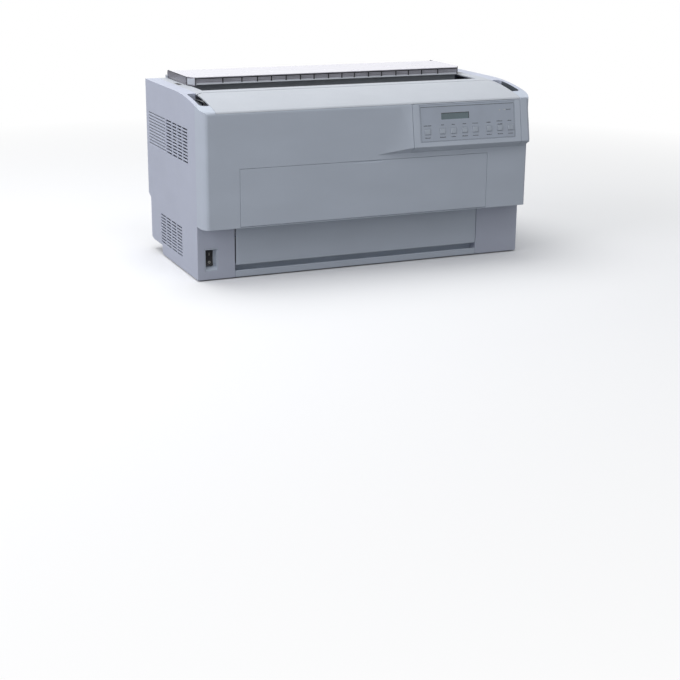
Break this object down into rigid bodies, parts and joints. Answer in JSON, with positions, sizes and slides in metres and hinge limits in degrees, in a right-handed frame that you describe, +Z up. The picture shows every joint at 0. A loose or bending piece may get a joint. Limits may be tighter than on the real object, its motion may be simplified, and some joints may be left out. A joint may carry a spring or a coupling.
{
  "type": "dot matrix printer",
  "caption": "Wide-carriage dot matrix printer with hinged top, front and rear covers, a tilting paper separator, a sloped key panel and a working print carriage and tractors.",
  "frame": {"origin": "middle of the casing's footprint box, on the plane that the feet stand on", "axes": "+X to the right as the user faces the printer, -Y to the front, +Z up"},
  "size_m": [0.7, 0.382, 0.3674],
  "materials": {
    "front_plastic": "fine-grained moulded",
    "top_plastic": "fine-grained moulded",
    "side_plastic": "fine-grained moulded",
    "smoke_plastic": "smoke-tinted clear",
    "sheet_steel": "zinc-plated",
    "ground_steel": "ground",
    "platen_steel": "blackened",
    "cast_alloy": "die-cast",
    "head_alloy": "black anodised",
    "motor_black": "satin black",
    "pulley_plastic": "moulded",
    "belt_rubber": "toothed",
    "cartridge_plastic": "moulded",
    "ribbon_fabric": "inked nylon",
    "knob_plastic": "moulded",
    "switch_black": "moulded",
    "overlay_film": "printed film",
    "lcd_glass": "display",
    "circuit_board": "lacquered",
    "key_plastic": "moulded",
    "tractor_plastic": "moulded",
    "flap_plastic": "moulded",
    "supply_steel": "plated",
    "socket_metal": "tinned",
    "foot_rubber": "moulded"
  },
  "bodies": {
    "printer": {"base_pan": "front_plastic", "left_side_case": "side_plastic", "right_side_case": "side_plastic", "front_case": "front_plastic", "rear_case": "side_plastic", "rear_deck": "top_plastic", "lower_front_panel": "front_plastic", "left_frame": "sheet_steel", "right_frame": "sheet_steel", "front_stay": "sheet_steel", "rear_stay": "sheet_steel", "platen": "platen_steel", "rear_guide_shaft": "ground_steel", "front_guide_shaft": "ground_steel", "carriage_motor": "motor_black", "carriage_belt": "belt_rubber", "ribbon_cartridge": "cartridge_plastic", "ribbon_band": "ribbon_fabric", "switch_bezel": "front_plastic", "panel_housing": "front_plastic", "panel_overlay": "overlay_film", "lcd_window": "lcd_glass", "panel_board": "circuit_board", "tractor_support_shaft": "ground_steel", "feed_motor": "motor_black", "paper_guide": "sheet_steel", "fan_frame": "switch_black", "power_supply": "supply_steel", "main_board": "circuit_board", "ac_inlet": "switch_black", "interface_sockets": "socket_metal", "feet": "foot_rubber", "case_screws": "ground_steel"},
    "carriage": {"carriage": "cast_alloy", "print_head": "head_alloy"},
    "top_cover": {"top_cover": "top_plastic"},
    "front_cover": {"front_cover": "front_plastic"},
    "paper_separator": {"paper_separator": "smoke_plastic"},
    "rear_cover": {"rear_cover": "side_plastic"},
    "power_rocker": {"power_rocker": "switch_black"},
    "drive_pulley": {"drive_pulley": "pulley_plastic"},
    "idler_pulley": {"idler_pulley": "pulley_plastic"},
    "ribbon_knob": {"ribbon_knob": "knob_plastic"},
    "left_tractor": {"left_tractor": "tractor_plastic"},
    "right_tractor": {"right_tractor": "tractor_plastic"},
    "left_tractor_flap": {"left_tractor_flap": "flap_plastic"},
    "right_tractor_flap": {"right_tractor_flap": "flap_plastic"},
    "tractor_drive_shaft": {"tractor_drive_shaft": "ground_steel"},
    "feed_pinion": {"feed_pinion": "ground_steel"},
    "fan_rotor": {"fan_rotor": "switch_black"},
    "pause_key": {"pause_key": "key_plastic"},
    "font_key": {"font_key": "key_plastic"},
    "pitch_key": {"pitch_key": "key_plastic"},
    "load_key": {"load_key": "key_plastic"},
    "tear_off_key": {"tear_off_key": "key_plastic"},
    "micro_feed_key": {"micro_feed_key": "key_plastic"},
    "menu_key": {"menu_key": "key_plastic"},
    "select_key": {"select_key": "key_plastic"}
  },
  "joints": [
    {"name": "top_cover_hinge", "type": "hinge", "parent": "printer", "child": "top_cover", "pos_m": [0, -0.073, 0.3398], "axis": [-1, 0, 0], "range_deg": [0, 75]},
    {"name": "front_cover_hinge", "type": "hinge", "parent": "printer", "child": "front_cover", "pos_m": [0, -0.1742, 0.1114], "axis": [1, 0, 0], "range_deg": [0, 90]},
    {"name": "paper_separator_hinge", "type": "hinge", "parent": "printer", "child": "paper_separator", "pos_m": [0, 0.187, 0.3544], "axis": [-1, 0, 0], "range_deg": [0, 75]},
    {"name": "rear_cover_hinge", "type": "hinge", "parent": "printer", "child": "rear_cover", "pos_m": [0, 0.1892, 0.1244], "axis": [-1, 0, 0], "range_deg": [0, 90]},
    {"name": "power_rocker_tilt", "type": "hinge", "parent": "printer", "child": "power_rocker", "pos_m": [-0.3255, -0.123, 0.044], "axis": [1, 0, 0], "range_deg": [-9, 9]},
    {"name": "pause_key_press", "type": "slide", "parent": "printer", "child": "pause_key", "axis": [0, 0.9853, -0.1706], "range_m": [0, 0.0012], "stiffness_N_per_m": 250, "springref_m": -0.0008},
    {"name": "font_key_press", "type": "slide", "parent": "printer", "child": "font_key", "axis": [0, 0.9853, -0.1706], "range_m": [0, 0.0012], "stiffness_N_per_m": 250, "springref_m": -0.0008},
    {"name": "pitch_key_press", "type": "slide", "parent": "printer", "child": "pitch_key", "axis": [0, 0.9853, -0.1706], "range_m": [0, 0.0012], "stiffness_N_per_m": 250, "springref_m": -0.0008},
    {"name": "load_key_press", "type": "slide", "parent": "printer", "child": "load_key", "axis": [0, 0.9853, -0.1706], "range_m": [0, 0.0012], "stiffness_N_per_m": 250, "springref_m": -0.0008},
    {"name": "tear_off_key_press", "type": "slide", "parent": "printer", "child": "tear_off_key", "axis": [0, 0.9853, -0.1706], "range_m": [0, 0.0012], "stiffness_N_per_m": 250, "springref_m": -0.0008},
    {"name": "micro_feed_key_press", "type": "slide", "parent": "printer", "child": "micro_feed_key", "axis": [0, 0.9853, -0.1706], "range_m": [0, 0.0012], "stiffness_N_per_m": 250, "springref_m": -0.0008},
    {"name": "menu_key_press", "type": "slide", "parent": "printer", "child": "menu_key", "axis": [0, 0.9853, -0.1706], "range_m": [0, 0.0012], "stiffness_N_per_m": 250, "springref_m": -0.0008},
    {"name": "select_key_press", "type": "slide", "parent": "printer", "child": "select_key", "axis": [0, 0.9853, -0.1706], "range_m": [0, 0.0012], "stiffness_N_per_m": 250, "springref_m": -0.0008},
    {"name": "carriage_slide", "type": "slide", "parent": "printer", "child": "carriage", "axis": [1, 0, 0], "range_m": [-0.205, 0.205]},
    {"name": "drive_pulley_spin", "type": "hinge", "parent": "printer", "child": "drive_pulley", "pos_m": [-0.268, -0.036, 0.219], "axis": [0, 0, 1], "range_deg": [-985, 985]},
    {"name": "idler_pulley_spin", "type": "hinge", "parent": "printer", "child": "idler_pulley", "pos_m": [0.268, -0.036, 0.219], "axis": [0, 0, 1], "range_deg": [-985, 985]},
    {"name": "ribbon_knob_turn", "type": "hinge", "parent": "printer", "child": "ribbon_knob", "pos_m": [-0.15, -0.118, 0.298], "axis": [0, 0, 1], "continuous": true},
    {"name": "left_tractor_slide", "type": "slide", "parent": "printer", "child": "left_tractor", "axis": [1, 0, 0], "range_m": [-0.05, 0.06]},
    {"name": "right_tractor_slide", "type": "slide", "parent": "printer", "child": "right_tractor", "axis": [1, 0, 0], "range_m": [-0.15, 0.07]},
    {"name": "left_tractor_flap_hinge", "type": "hinge", "parent": "left_tractor", "child": "left_tractor_flap", "pos_m": [-0.1956, -0.09795, 0.18035], "axis": [0, 0.9397, 0.342], "range_deg": [0, 110]},
    {"name": "right_tractor_flap_hinge", "type": "hinge", "parent": "right_tractor", "child": "right_tractor_flap", "pos_m": [0.1884, -0.09795, 0.18035], "axis": [0, 0.9397, 0.342], "range_deg": [0, 110]},
    {"name": "tractor_drive_shaft_spin", "type": "hinge", "parent": "printer", "child": "tractor_drive_shaft", "pos_m": [0, -0.092, 0.164], "axis": [1, 0, 0], "continuous": true},
    {"name": "feed_pinion_spin", "type": "hinge", "parent": "printer", "child": "feed_pinion", "pos_m": [0.31, -0.092, 0.134], "axis": [1, 0, 0], "continuous": true},
    {"name": "fan_rotor_spin", "type": "hinge", "parent": "printer", "child": "fan_rotor", "pos_m": [0.15, 0.161, 0.066], "axis": [0, 1, 0], "continuous": true}
  ],
  "couplings": [
    {"joint": "drive_pulley_spin", "follows": "carriage_slide", "rad_per_m": 83.333},
    {"joint": "idler_pulley_spin", "follows": "carriage_slide", "rad_per_m": 83.333},
    {"joint": "feed_pinion_spin", "follows": "tractor_drive_shaft_spin", "ratio": -3}
  ]
}
